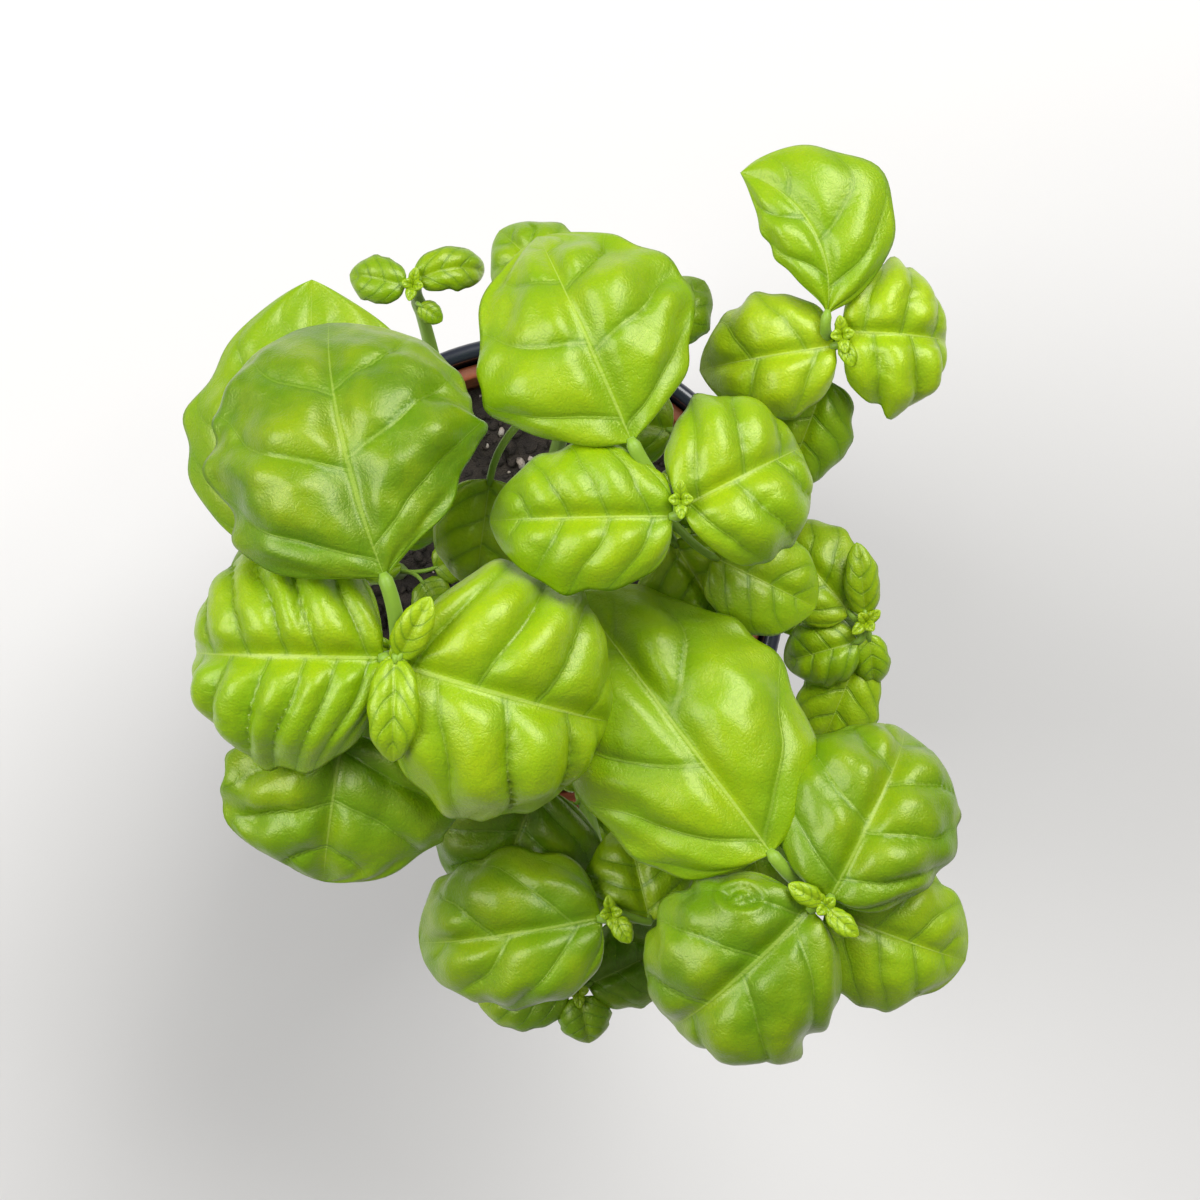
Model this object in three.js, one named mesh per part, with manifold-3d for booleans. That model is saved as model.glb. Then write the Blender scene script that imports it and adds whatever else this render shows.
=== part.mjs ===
// Potted basil: ten leafy stems in dark soil, inside a terracotta-coloured nursery pot,
// which stands inside a dark cover pot. Millimetres and degrees, +Z up, base of the
// cover pot on z = 0, centred on the origin.
import * as THREE from "three";
import { mergeVertices } from "three/addons/utils/BufferGeometryUtils.js";
import Module from "manifold-3d";

// Driving sizes
const COVER_RIM_RADIUS = 65;
const COVER_HEIGHT = 120;
const COVER_BASE_RADIUS = 50;
const COVER_WALL = 1.7;
const COVER_FLOOR = 3;
const BEAD = 2.1;
const FIT = 0.3;
const NURSERY_LIP_RADIUS = 59.8;
const NURSERY_HEIGHT = 113;
const NURSERY_WALL = 1.3;
const SOIL_TOP = 98;
const SOIL_SINK = 18;
const STEM_FOOT_RADIUS = 2.2;
const STEM_TIP_RADIUS = 1.4;
const PETIOLE_RADIUS = 1.1;
const BLADE_THICKNESS = 0.8;
const STEM_SIDES = 6;
const PETIOLE_SIDES = 5;
const ROUND_SEGMENTS = 48;

const wasm = await Module();
wasm.setup();

const radians = (degrees) => (degrees * Math.PI) / 180;
const mix = (a, b, t) => a + (b - a) * t;
const vec = (x, y, z) => new THREE.Vector3(x, y, z);

// A leaf: where its blade starts, the way it points, its size, and how it bends.
// rise and fall are the slope at the base and at the tip, crown and skirt the slope of
// each half beside the midrib and at the margin, bend turns the midrib sideways.
function leaf(x, y, z, heading, length, width, rise, fall, more = {}) {
  const usual = { crown: 12, skirt: 48, bend: 0, blunt: 0.42, wave: 0, node: null };
  return { base: vec(x, y, z), heading, length, width, rise, fall, ...usual, ...more };
}
const young = { crown: 20, skirt: 20 };

const plants = {
  basil_1: {
    root: [-20, -12],
    apex: [-25.8, -16.6, 269],
    leaves: [
      leaf(-28, -15.8, 269, 179, 58, 58, 12, 92, { crown: 14, skirt: 62 }),
      leaf(-25, -17.4, 269, -16, 59, 68, 12, 86, { crown: 14, skirt: 63 }),
      leaf(-27.5, 0.6, 277, 103, 62, 68, 14, 30, { crown: 8, skirt: 50, bend: -15, blunt: 0.5, node: 256 }),
      leaf(-38.5, -32, 250, -99, 38, 54, 4, 55, { skirt: 36, wave: 2, node: 244 }),
      leaf(-25.8, -15.5, 271, -92, 24, 11, 25, 50, young),
      leaf(-25, -15.8, 271, 62, 16, 8, 40, 10, young),
      leaf(-29, -19, 212, 205, 32, 28, 12, 55, { node: 206 }),
      leaf(-16, -20, 212, -28, 32, 28, 12, 55, { node: 206 }),
    ],
  },
  basil_2: {
    root: [20, 12],
    apex: [33.9, 17.4, 271],
    leaves: [
      leaf(33, 14, 270, 181, 44, 34, 17, 58, { crown: 14, skirt: 44 }),
      leaf(33.6, 15.6, 269, 27, 38, 43, 12, 85, { crown: 14, skirt: 58, blunt: 0.36 }),
      leaf(24, 29, 270, 113, 59, 53, 18, 62, { crown: 10, skirt: 46, blunt: 0.5, node: 252 }),
      leaf(33.4, 9.5, 228, -58, 29, 31, 2, 40, { skirt: 36, node: 222 }),
      leaf(42, 6, 233, -26, 27, 26, 4, 36, { skirt: 32, node: 226 }),
      leaf(18, 11, 206, 188, 26, 24, 12, 55, { node: 200 }),
      leaf(33, 18, 206, 20, 30, 28, 12, 55, { node: 200 }),
    ],
  },
  basil_3: {
    root: [30, -34],
    apex: [66, -70, 246],
    leaves: [
      leaf(63.4, -70.4, 245, -137, 55, 54, 18, 92, { crown: 15, skirt: 66 }),
      leaf(66.8, -69, 246, 63, 53, 48, 14, 88, { crown: 14, skirt: 60 }),
      leaf(54.8, -59.4, 244, 127, 76, 57, 10, 44, { crown: 10, skirt: 46, node: 230 }),
      leaf(70, -75.6, 232, -21, 36, 36, 4, 55, { crown: 10, skirt: 45, node: 226 }),
      leaf(65.2, -69.4, 247, 150, 9, 5, 30, 20, young),
      leaf(66.4, -71, 247, -40, 9, 5, 30, 20, young),
      leaf(50, -44, 196, 50, 30, 26, 12, 55, { node: 188 }),
      leaf(40, -56, 196, 232, 30, 26, 12, 55, { node: 188 }),
    ],
  },
  basil_4: {
    root: [32, 26],
    apex: [69.1, 53.5, 252],
    leaves: [
      leaf(68.2, 51.4, 251, 189, 35, 30, 12, 70, { crown: 14, skirt: 50 }),
      leaf(69.9, 54.6, 251, -3, 31, 41, 14, 88, { crown: 14, skirt: 62, blunt: 0.36 }),
      leaf(66.9, 59.8, 256, 117, 43, 33, 14, 30, { crown: 10, skirt: 38, bend: 84, node: 240 }),
      leaf(66.5, 45, 240, -110, 28, 22, 0, 55, { skirt: 45, node: 234 }),
      leaf(69.4, 52, 252, -70, 6, 4, 30, 20, young),
      leaf(34, 36, 196, 168, 26, 24, 12, 55, { node: 188 }),
      leaf(46, 26, 196, -85, 26, 24, 12, 55, { node: 188 }),
    ],
  },
  basil_5: {
    root: [40, -4],
    apex: [77.4, -8.6, 215],
    leaves: [
      leaf(74.4, -6.6, 215, 128, 30, 20, 12, 62, { skirt: 50 }),
      leaf(77.2, -7, 216, 98, 18, 9, 40, 20, { skirt: 40 }),
      leaf(75.8, -13, 213, 196, 19, 19, 10, 68, { crown: 14, skirt: 58 }),
      leaf(78.8, -11, 213, -22, 9, 14, -15, 85, { skirt: 50 }),
      leaf(77.6, -15, 207, -100, 26, 16, 5, 55, { skirt: 50, node: 200 }),
      leaf(70.2, -27.5, 188, -115, 16, 12, 5, 40, { skirt: 45, node: 180 }),
    ],
  },
  basil_6: {
    root: [8, -34],
    apex: [19.5, -74.5, 216],
    leaves: [
      leaf(17, -76, 216, 190, 52, 39, 12, 72, { crown: 14, skirt: 54 }),
      leaf(28.5, -77, 213, 104, 24, 22, 5, 50),
      leaf(3, -46, 208, -112, 36, 44, 5, 50, { node: 190 }),
      leaf(20.5, -75.5, 217, -60, 7, 5, 30, 20, young),
      leaf(16, -40, 168, 50, 24, 22, 12, 55, { node: 160 }),
    ],
  },
  basil_7: {
    root: [-20, 36],
    apex: [-28.1, 72.4, 172],
    leaves: [
      leaf(-29.8, 72.4, 172, 168, 16, 13, 12, 60),
      leaf(-27.4, 73.4, 172, 5, 22, 12, 14, 90, { bend: -50 }),
      leaf(-26.8, 68, 168, -35, 7, 6, 5, 40, { skirt: 40, node: 160 }),
    ],
  },
  basil_8: {
    root: [-6, -46],
    apex: [11.8, -96, 185],
    leaves: [
      leaf(9.8, -96.6, 185, 186, 25, 18, 10, 55),
      leaf(13.8, -95, 185, 25, 25, 24, 10, 55),
      leaf(12.4, -97.5, 185, -80, 13, 14, 10, 55),
      leaf(-14, -50, 150, 158, 28, 26, 12, 55, { node: 143 }),
    ],
  },
  basil_9: {
    root: [-36, 4],
    apex: [-46, 0, 238],
    leaves: [
      leaf(-45.5, 4, 241, 91, 64, 62, 8, 22, { crown: 8, skirt: 40, blunt: 0.6, node: 236 }),
      leaf(-22.5, 7, 128, 40, 9, 11, 10, 20, { crown: 10, skirt: 20, node: 118 }),
      leaf(-27, 10, 128, 130, 9, 11, 10, 20, { crown: 10, skirt: 20, node: 118 }),
      leaf(-46, 2, 186, 175, 28, 26, 12, 55, { node: 180 }),
      leaf(-34, 10, 186, 62, 28, 26, 12, 55, { node: 180 }),
    ],
  },
  basil_10: {
    root: [2, 20],
    apex: [14, 54, 238],
    leaves: [
      leaf(11, 62, 240, 135, 26, 24, 10, 60, { skirt: 55 }),
      leaf(28, 54, 232, 48, 20, 17, 10, 50, { skirt: 45 }),
      leaf(-7.6, 23.6, 226, -98, 28, 24, 10, 60, { node: 205 }),
    ],
  },
};

// Turn points and triangles, or a three.js geometry, into a solid for joining.
function solidOf(geometry) {
  let clean = geometry.clone();
  clean.deleteAttribute("normal");
  clean.deleteAttribute("uv");
  clean = mergeVertices(clean, 1e-4);
  return new wasm.Manifold(
    new wasm.Mesh({
      numProp: 3,
      vertProperties: new Float32Array(clean.attributes.position.array),
      triVerts: new Uint32Array(clean.index.array),
    })
  );
}

function geometryOf(solid) {
  const mesh = solid.getMesh();
  const geometry = new THREE.BufferGeometry();
  geometry.setAttribute("position", new THREE.BufferAttribute(mesh.vertProperties, 3));
  geometry.setIndex(new THREE.BufferAttribute(mesh.triVerts, 1));
  geometry.computeVertexNormals();
  return geometry;
}

// A closed round tube along points, with its own radius at each point.
function tube(points, radii, sides) {
  const positions = [];
  const index = [];
  const last = points.length - 1;
  let side = null;
  points.forEach((point, i) => {
    const along = points[Math.min(i + 1, last)].clone().sub(points[Math.max(i - 1, 0)]).normalize();
    if (!side) {
      const away = Math.abs(along.x) < 0.8 ? vec(1, 0, 0) : vec(0, 1, 0);
      side = along.clone().cross(away);
    }
    side.addScaledVector(along, -side.dot(along)).normalize();
    const up = along.clone().cross(side);
    for (let k = 0; k < sides; k += 1) {
      const turn = (2 * Math.PI * k) / sides;
      const out = side.clone().multiplyScalar(Math.cos(turn)).addScaledVector(up, Math.sin(turn));
      positions.push(...point.clone().addScaledVector(out, radii[i]).toArray());
    }
  });
  for (let i = 0; i < last; i += 1) {
    for (let k = 0; k < sides; k += 1) {
      const a = i * sides + k;
      const b = i * sides + ((k + 1) % sides);
      index.push(a, b, b + sides, a, b + sides, a + sides);
    }
  }
  const foot = positions.length / 3;
  positions.push(...points[0].toArray(), ...points[last].toArray());
  for (let k = 0; k < sides; k += 1) {
    const next = (k + 1) % sides;
    index.push(foot, next, k);
    index.push(foot + 1, last * sides + k, last * sides + next);
  }
  const geometry = new THREE.BufferGeometry();
  geometry.setAttribute("position", new THREE.Float32BufferAttribute(positions, 3));
  geometry.setIndex(index);
  return solidOf(geometry);
}

function bezier(a, b, c, d, steps) {
  return new THREE.CubicBezierCurve3(a, b, c, d).getPoints(steps);
}

// Share of the full half width along the blade: broad near the base, rounded tip.
function outline(t, blunt) {
  return Math.max(Math.sin(Math.PI * Math.pow(t, 0.86)), 0) ** (blunt + 0.2 * t);
}

// The blade as a thin closed body, split alike on its upper and lower face.
function blade(shape) {
  const { base, heading, length, width, rise, fall, crown, skirt, bend, blunt, wave } = shape;
  const rows = length > 45 ? 8 : length > 32 ? 6 : length > 20 ? 5 : 4;
  const columns = width > 32 ? 6 : width > 10 ? 4 : 2;
  const fine = 30 * rows;
  const midrib = [base.clone()];
  const slope = (t) => radians(mix(rise, -fall, Math.pow(t, 1.4)));
  const turn = (t) => radians(heading + bend * (t - 0.5));
  const along = (t) =>
    vec(Math.cos(slope(t)) * Math.cos(turn(t)), Math.cos(slope(t)) * Math.sin(turn(t)), Math.sin(slope(t)));
  for (let i = 0; i < fine; i += 1) {
    const step = along(i / fine).add(along((i + 1) / fine)).multiplyScalar(length / fine / 2);
    midrib.push(midrib[i].clone().add(step));
  }
  const grid = [];
  for (let i = 0; i <= rows; i += 1) {
    const t = i / rows;
    const share = outline(t, blunt);
    const side = vec(-Math.sin(turn(t)), Math.cos(turn(t)), 0);
    const up = along(t).cross(side);
    const row = [];
    for (let j = 0; j <= columns; j += 1) {
      const v = (2 * j) / columns - 1;
      const a = Math.abs(v);
      const start = radians(crown) * share ** 0.6;
      const sweep = Math.max(radians(crown + skirt) * share ** 0.6, 1e-6);
      const reach = (share * width) / 2;
      const across = ((Math.sin(start) - Math.sin(start - sweep * a)) / sweep) * reach;
      const ripple = wave * Math.sin(5 * Math.PI * t + (v > 0 ? 0 : 1.3)) * a * a * share;
      const lift = ((Math.cos(start - sweep * a) - Math.cos(start)) / sweep) * reach + ripple;
      row.push(midrib[30 * i].clone().addScaledVector(side, Math.sign(v) * across).addScaledVector(up, lift));
    }
    grid.push(row);
  }
  const normal = (i, j) => {
    const r = Math.min(Math.max(i, 1), rows - 1);
    const c = i === 0 || i === rows ? columns / 2 : j;
    const down = grid[r - 1][c];
    const du = grid[r + 1][c].clone().sub(down);
    const dv = grid[r][Math.min(c + 1, columns)].clone().sub(grid[r][Math.max(c - 1, 0)]);
    return du.cross(dv).normalize();
  };
  const positions = [];
  const index = [];
  const seen = new Map();
  const corner = (face, i, j) => {
    const column = i === 0 || i === rows ? columns / 2 : j;
    const key = `${face},${i},${column}`;
    if (!seen.has(key)) {
      seen.set(key, positions.length / 3);
      const offset = (face * BLADE_THICKNESS) / 2;
      positions.push(...grid[i][column].clone().addScaledVector(normal(i, column), offset).toArray());
    }
    return seen.get(key);
  };
  const face = (...corners) => {
    if (new Set(corners).size === 3) index.push(...corners);
  };
  for (let i = 0; i < rows; i += 1) {
    for (let j = 0; j < columns; j += 1) {
      const [a, b, c, d] = [corner(1, i, j), corner(1, i, j + 1), corner(1, i + 1, j), corner(1, i + 1, j + 1)];
      const [e, f, g, h] = [corner(-1, i, j), corner(-1, i, j + 1), corner(-1, i + 1, j), corner(-1, i + 1, j + 1)];
      face(a, c, d);
      face(a, d, b);
      face(e, h, g);
      face(e, f, h);
    }
    const [a, c, e, g] = [corner(1, i, 0), corner(1, i + 1, 0), corner(-1, i, 0), corner(-1, i + 1, 0)];
    face(a, e, g);
    face(a, g, c);
    const [b, d, f, h] = [corner(1, i, columns), corner(1, i + 1, columns), corner(-1, i, columns), corner(-1, i + 1, columns)];
    face(b, h, f);
    face(b, d, h);
  }
  const geometry = new THREE.BufferGeometry();
  geometry.setAttribute("position", new THREE.Float32BufferAttribute(positions, 3));
  geometry.setIndex(index);
  return solidOf(geometry);
}

// The stem rises straight out of its hole in the soil, then leans out to its top.
function stemPoints({ root, apex }) {
  const foot = vec(root[0], root[1], SOIL_TOP + 4);
  const top = vec(...apex);
  const rise = top.z - foot.z;
  const lower = foot.clone().add(vec(0, 0, rise * 0.45));
  const upper = top.clone().sub(vec((top.x - foot.x) * 0.1, (top.y - foot.y) * 0.1, rise * 0.4));
  return [vec(root[0], root[1], SOIL_TOP - SOIL_SINK), ...bezier(foot, lower, upper, top, 10)];
}

function pointAtHeight(points, z) {
  const i = Math.max(1, points.findIndex((p) => p.z >= z));
  return points[i - 1].clone().lerp(points[i], (z - points[i - 1].z) / (points[i].z - points[i - 1].z));
}

// The stalk from the stem to the blade, running on a little way under the blade.
function petiole(stem, shape) {
  const top = stem[stem.length - 1].z;
  const start = pointAtHeight(stem, Math.min(shape.node ?? top - 2, top - 1.5));
  const end = shape.base.clone();
  const turn = radians(shape.heading - shape.bend / 2);
  const slope = radians(shape.rise);
  const along = vec(Math.cos(slope) * Math.cos(turn), Math.cos(slope) * Math.sin(turn), Math.sin(slope));
  const span = end.distanceTo(start);
  const leave = start.clone().add(vec(0, 0, span * 0.3)).addScaledVector(end.clone().sub(start), 0.15);
  const arrive = end.clone().addScaledVector(along, -span * 0.35);
  const small = shape.length < 12 ? 0.6 : 1;
  const points = bezier(start, leave, arrive, end, 3);
  points.push(end.clone().addScaledVector(along, 2.5 * small));
  const radii = points.map((_, i) => small * mix(PETIOLE_RADIUS, 0.75, i / 4));
  return tube(points, radii, PETIOLE_SIDES);
}

function plantGeometry(plant) {
  const stem = stemPoints(plant);
  const low = stem[0].z;
  const high = stem[stem.length - 1].z;
  const radii = stem.map((p) => mix(STEM_FOOT_RADIUS, STEM_TIP_RADIUS, (p.z - low) / (high - low)));
  let body = tube(stem, radii, STEM_SIDES);
  plant.leaves.forEach((shape) => {
    body = body.add(petiole(stem, shape)).add(blade(shape));
  });
  return geometryOf(body);
}

function turned(profile) {
  return new THREE.LatheGeometry(profile.map(([r, z]) => new THREE.Vector2(r, z)), ROUND_SEGMENTS).rotateX(Math.PI / 2);
}

// Outer pot: tapered wall, flat solid base and a rolled bead round the rim.
function coverPot() {
  const beadRadius = COVER_RIM_RADIUS - BEAD;
  const beadHeight = COVER_HEIGHT - BEAD;
  const profile = [
    [0, 0],
    [COVER_BASE_RADIUS - 3, 0],
    [COVER_BASE_RADIUS - 0.8, 0.8],
    [COVER_BASE_RADIUS, 3],
    [beadRadius - 0.3, beadHeight - BEAD - 0.6],
  ];
  for (let turn = -60; turn <= 180; turn += 30) {
    profile.push([beadRadius + BEAD * Math.cos(radians(turn)), beadHeight + BEAD * Math.sin(radians(turn))]);
  }
  profile.push([beadRadius - BEAD, beadHeight - BEAD]);
  profile.push([COVER_BASE_RADIUS - COVER_WALL, COVER_FLOOR + 2]);
  profile.push([COVER_BASE_RADIUS - COVER_WALL - 2, COVER_FLOOR]);
  profile.push([0, COVER_FLOOR]);
  return turned(profile);
}

// Inner pot: tapered wall, stacking ledge, collar and a narrow flat lip.
const nurseryFloor = COVER_FLOOR + FIT;
const ledgeInner = 53;
const collarInner = 55.3;
function nurseryPot() {
  return turned([
    [0, nurseryFloor],
    [38, nurseryFloor],
    [40, nurseryFloor + 1.2],
    [40.4, nurseryFloor + 3],
    [ledgeInner + NURSERY_WALL, 95],
    [collarInner + NURSERY_WALL, 98],
    [collarInner + NURSERY_WALL + 1, NURSERY_HEIGHT - 2.4],
    [NURSERY_LIP_RADIUS - 0.5, NURSERY_HEIGHT - 2.4],
    [NURSERY_LIP_RADIUS, NURSERY_HEIGHT - 1.9],
    [NURSERY_LIP_RADIUS, NURSERY_HEIGHT - 0.6],
    [NURSERY_LIP_RADIUS - 0.6, NURSERY_HEIGHT],
    [collarInner + 1.7, NURSERY_HEIGHT],
    [collarInner + 1, NURSERY_HEIGHT - 0.8],
    [collarInner, 98],
    [ledgeInner, 95],
    [39, nurseryFloor + 3.2],
    [37.5, nurseryFloor + 1.9],
    [0, nurseryFloor + 1.9],
  ]);
}

// Soil: fills the inner pot with an even gap, lumpy on top, one plain hole a stem.
function soil() {
  const floor = nurseryFloor + 1.9 + FIT;
  const profile = [
    [0, floor],
    [37.4, floor],
    [38.7, floor + 1.3],
    [ledgeInner - FIT, 95.1],
    [collarInner - FIT - 0.3, SOIL_TOP],
    [collarInner - 2.5, SOIL_TOP + 1],
    [45, SOIL_TOP + 0.6],
    [35, SOIL_TOP],
    [25, SOIL_TOP],
    [15, SOIL_TOP],
    [7, SOIL_TOP],
    [0, SOIL_TOP],
  ];
  const geometry = mergeVertices(turned(profile), 1e-4);
  const position = geometry.attributes.position;
  for (let i = 0; i < position.count; i += 1) {
    const [x, y, z] = [position.getX(i), position.getY(i), position.getZ(i)];
    if (z < SOIL_TOP - 0.01 || Math.hypot(x, y) > 54) continue;
    const lump = Math.sin(x * 0.31 + 1) * Math.cos(y * 0.27) + 0.6 * Math.sin(x * 0.7 - y * 0.6);
    position.setZ(i, z + 0.9 * lump);
  }
  let body = solidOf(geometry);
  Object.values(plants).forEach(({ root }) => {
    const radius = STEM_FOOT_RADIUS + 0.45;
    const foot = SOIL_TOP - SOIL_SINK - FIT;
    const points = [vec(root[0], root[1], foot), vec(root[0], root[1], SOIL_TOP + 12)];
    body = body.subtract(tube(points, [radius, radius], 12));
  });
  return geometryOf(body);
}

function paint(color, roughness, metalness = 0) {
  return new THREE.MeshStandardMaterial({ color, roughness, metalness });
}

const group = new THREE.Group();
function add(name, geometry, material) {
  const mesh = new THREE.Mesh(geometry, material);
  mesh.name = name;
  group.add(mesh);
}

add("cover_pot", coverPot(), paint(0x14171f, 0.35));
add("nursery_pot", nurseryPot(), paint(0x9c5237, 0.6));
add("soil", soil(), paint(0x1d1713, 0.95));
Object.entries(plants).forEach(([name, plant]) => {
  add(name, plantGeometry(plant), paint(0x7fae12, 0.4));
});

export default group;
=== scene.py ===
"""A potted basil bunch: puffy leaves on ten leafy stems, dark soil with perlite, an inner
nursery pot and a dark cover pot. Sizes in the tables are millimetres and degrees."""
import math

import bmesh
import bpy
import numpy as np
from bpy.props import FloatProperty, FloatVectorProperty, IntProperty, PointerProperty
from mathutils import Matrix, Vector, noise


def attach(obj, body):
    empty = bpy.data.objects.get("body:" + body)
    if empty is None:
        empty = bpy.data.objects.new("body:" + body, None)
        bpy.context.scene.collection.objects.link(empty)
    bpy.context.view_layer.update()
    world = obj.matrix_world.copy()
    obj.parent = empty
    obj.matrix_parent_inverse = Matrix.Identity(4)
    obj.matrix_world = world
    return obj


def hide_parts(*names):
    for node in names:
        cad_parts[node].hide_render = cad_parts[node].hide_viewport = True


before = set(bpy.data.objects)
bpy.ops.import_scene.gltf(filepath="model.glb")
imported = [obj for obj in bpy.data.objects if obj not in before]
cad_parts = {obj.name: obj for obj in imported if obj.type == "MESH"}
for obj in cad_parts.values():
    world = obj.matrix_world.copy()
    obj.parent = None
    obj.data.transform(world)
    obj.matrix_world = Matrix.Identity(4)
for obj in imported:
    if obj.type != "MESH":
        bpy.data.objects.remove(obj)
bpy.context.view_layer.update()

bl_info = {
    "name": "Potted basil",
    "version": (1, 0, 0),
    "blender": (4, 5, 0),
    "location": "View3D > Sidebar > Basil",
    "description": "Builds a basil bunch growing in its pot",
    "category": "Add Mesh",
}

MM = 0.001
SOIL_TOP = 98.0
SOIL_SINK = 18.0  # how far the stems go on below the soil's top
SOIL_RADIUS = 54.6
TOP_FACE, UNDER_FACE, STEM_FACE = 0, 1, 2  # places of a plant's materials


def leaf(x, y, z, heading, length, width, rise, fall, **more):
    """One leaf: blade's start, pointing direction, size, slope at base and at tip.

    crown and skirt are the slope of each half beside the midrib and at the margin.
    puff is the height of the swellings between veins and tone runs from 0 dark and old
    to 1 pale and young; a few leaves in the shade of others get a paler tone as painted light.
    left and right hold where the side veins leave the midrib.
    knot is a curled wrinkle at (t, v) with its radius and depth, and halves are the
    shares of the usual width left and right of the midrib. node is the height at which
    the stalk leaves the stem.
    """
    usual = {
        "crown": 12, "skirt": 48, "bend": 0, "blunt": 0.42, "wave": 0, "node": None,
        "left": (0.08, 0.3, 0.53, 0.76), "right": (0.1, 0.33, 0.56, 0.78),
        "puff": 0.034 * math.sqrt(length * width), "slant": 0.34, "tone": 0.5, "ruffle": 0.8,
        "crinkle": 1.0, "taper": 0.016, "tipped": 0.2, "knot": None, "halves": (1.0, 1.0),
    }
    return {"base": (x, y, z), "heading": heading, "length": length, "width": width,
            "rise": rise, "fall": fall, **usual, **more}


def leafy_stem(root, apex, *leaves):
    """One leafy stem: where it stands in the soil, its top and its leaves."""
    return {"root": root, "apex": apex, "leaves": leaves}


YOUNG = {"crown": 20, "skirt": 20, "tone": 0.78, "puff": 0.3, "ruffle": 0.3}
LOW = {"tone": 0.15, "puff": 0.8}
SOIL_LEAF = {"crown": 10, "skirt": 20, "node": 118, "tone": 0.25, "puff": 0.1}

PLANTS = {}
PLANTS["basil_1"] = leafy_stem(
    (-20, -12), (-25.8, -16.6, 269),
    leaf(-28, -15.8, 269, 179, 58, 58, 12, 92, crown=14, skirt=62, left=(0.05, 0.17, 0.29, 0.43, 0.6, 0.78),
         right=(0.06, 0.24, 0.36, 0.52, 0.7), puff=2.5, slant=0.25, tone=0.56, crinkle=1.8),
    leaf(-25, -17.4, 269, -16, 59, 68, 12, 86, crown=14, skirt=63, left=(0.04, 0.29, 0.52, 0.76),
         right=(0.14, 0.4, 0.66, 0.84), puff=2.7, slant=0.28, tone=0.76, crinkle=1.3),
    leaf(-27.5, 0.6, 277, 103, 67, 66, 14, 70, crown=8, skirt=50, bend=-15, blunt=0.45, tipped=-0.08,
         node=256, taper=(0.06, 0.16), left=(0.06, 0.36, 0.62), right=(0.1, 0.4, 0.64), puff=1.7,
         slant=0.38, tone=0.14, ruffle=2.0),
    leaf(-38.5, -32, 250, -99, 38, 54, 4, 55, skirt=36, wave=2, node=244, left=(0.1, 0.4, 0.7),
         right=(0.12, 0.42, 0.7), puff=2.0, slant=0.35, tone=0.3, ruffle=1.6),
    leaf(-25.8, -15.5, 271, -92, 24, 11, 25, 50, **{**YOUNG, "puff": 0.5}),
    leaf(-25, -15.8, 271, 62, 16, 8, 40, 10, **YOUNG),
    leaf(-29, -19, 212, 205, 32, 28, 12, 55, node=206, **LOW),
    leaf(-16, -20, 212, -28, 32, 28, 12, 55, node=206, **LOW),
)
PLANTS["basil_2"] = leafy_stem(
    (20, 12), (33.9, 17.4, 271),
    leaf(33, 14, 270, 181, 44, 34, 17, 58, crown=14, skirt=44, left=(0.1, 0.32, 0.55, 0.78),
         right=(0.12, 0.33, 0.52, 0.72), puff=1.0, slant=0.25, tone=0.56),
    leaf(33.6, 15.6, 269, 27, 38, 43, 12, 85, crown=14, skirt=58, blunt=0.36, left=(0.12, 0.42, 0.7),
         right=(0.06, 0.35, 0.65, 0.85), puff=1.9, slant=0.3, tone=0.69, crinkle=1.5),
    leaf(24, 29, 270, 114, 59, 52, 18, 72, crown=10, skirt=46, blunt=0.44, tipped=0.35, node=252,
         taper=(0.05, 0.1), left=(0.1, 0.4, 0.66, 0.85), right=(0.06, 0.36, 0.62, 0.82), puff=1.6,
         slant=0.26, tone=0.48, ruffle=2.3),
    # Painted light: this leaf lies in the shade of the leaves above it and gets a pale tone so that it reads
    # as lit.
    leaf(33.4, 9.5, 228, -58, 29, 31, 2, 40, skirt=36, node=222, puff=1.4, tone=0.85),
    leaf(42, 6, 233, -26, 27, 26, 4, 36, skirt=32, node=226, puff=0.5, tone=0.6),
    leaf(18, 11, 206, 188, 26, 24, 12, 55, node=200, **LOW),
    leaf(33, 18, 206, 20, 30, 28, 12, 55, node=200, **LOW),
)
PLANTS["basil_3"] = leafy_stem(
    (30, -34), (66, -70, 246),
    leaf(63.4, -70.4, 245, -137, 55, 54, 18, 92, crown=15, skirt=66, left=(0.1, 0.4, 0.7),
         right=(0.05, 0.3, 0.6), puff=2.0, slant=0.36, tone=0.2, ruffle=1.7, crinkle=1.4,
         knot=(0.19, -0.55, 4.6, 1.2)),
    leaf(66.8, -69, 246, 63, 53, 48, 14, 88, crown=14, skirt=60, left=(0.08, 0.36, 0.62, 0.8),
         right=(0.1, 0.32, 0.55, 0.8), puff=2.0, slant=0.3, tone=0.26, ruffle=1.5, crinkle=1.7),
    leaf(54.8, -59.4, 244, 127, 76, 57, 10, 44, crown=10, skirt=46, node=230, taper=0.035, blunt=0.38,
         left=(0.05, 0.33, 0.75), right=(0.04, 0.5, 0.8), puff=1.9, slant=0.45, tone=0.65, ruffle=1.4),
    leaf(67, -72.6, 232, -21, 39, 37, 4, 55, crown=10, skirt=45, node=226, blunt=0.34, puff=0.8, tone=0.74),
    leaf(65.2, -69.4, 247, 150, 9, 5, 30, 20, **YOUNG),
    leaf(66.4, -71, 247, -40, 9, 5, 30, 20, **YOUNG),
    leaf(48, -46, 204, -75, 34, 30, 12, 55, node=188, **LOW),
    leaf(40, -56, 196, 238, 36, 31, 12, 55, node=188, **LOW),
)
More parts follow.
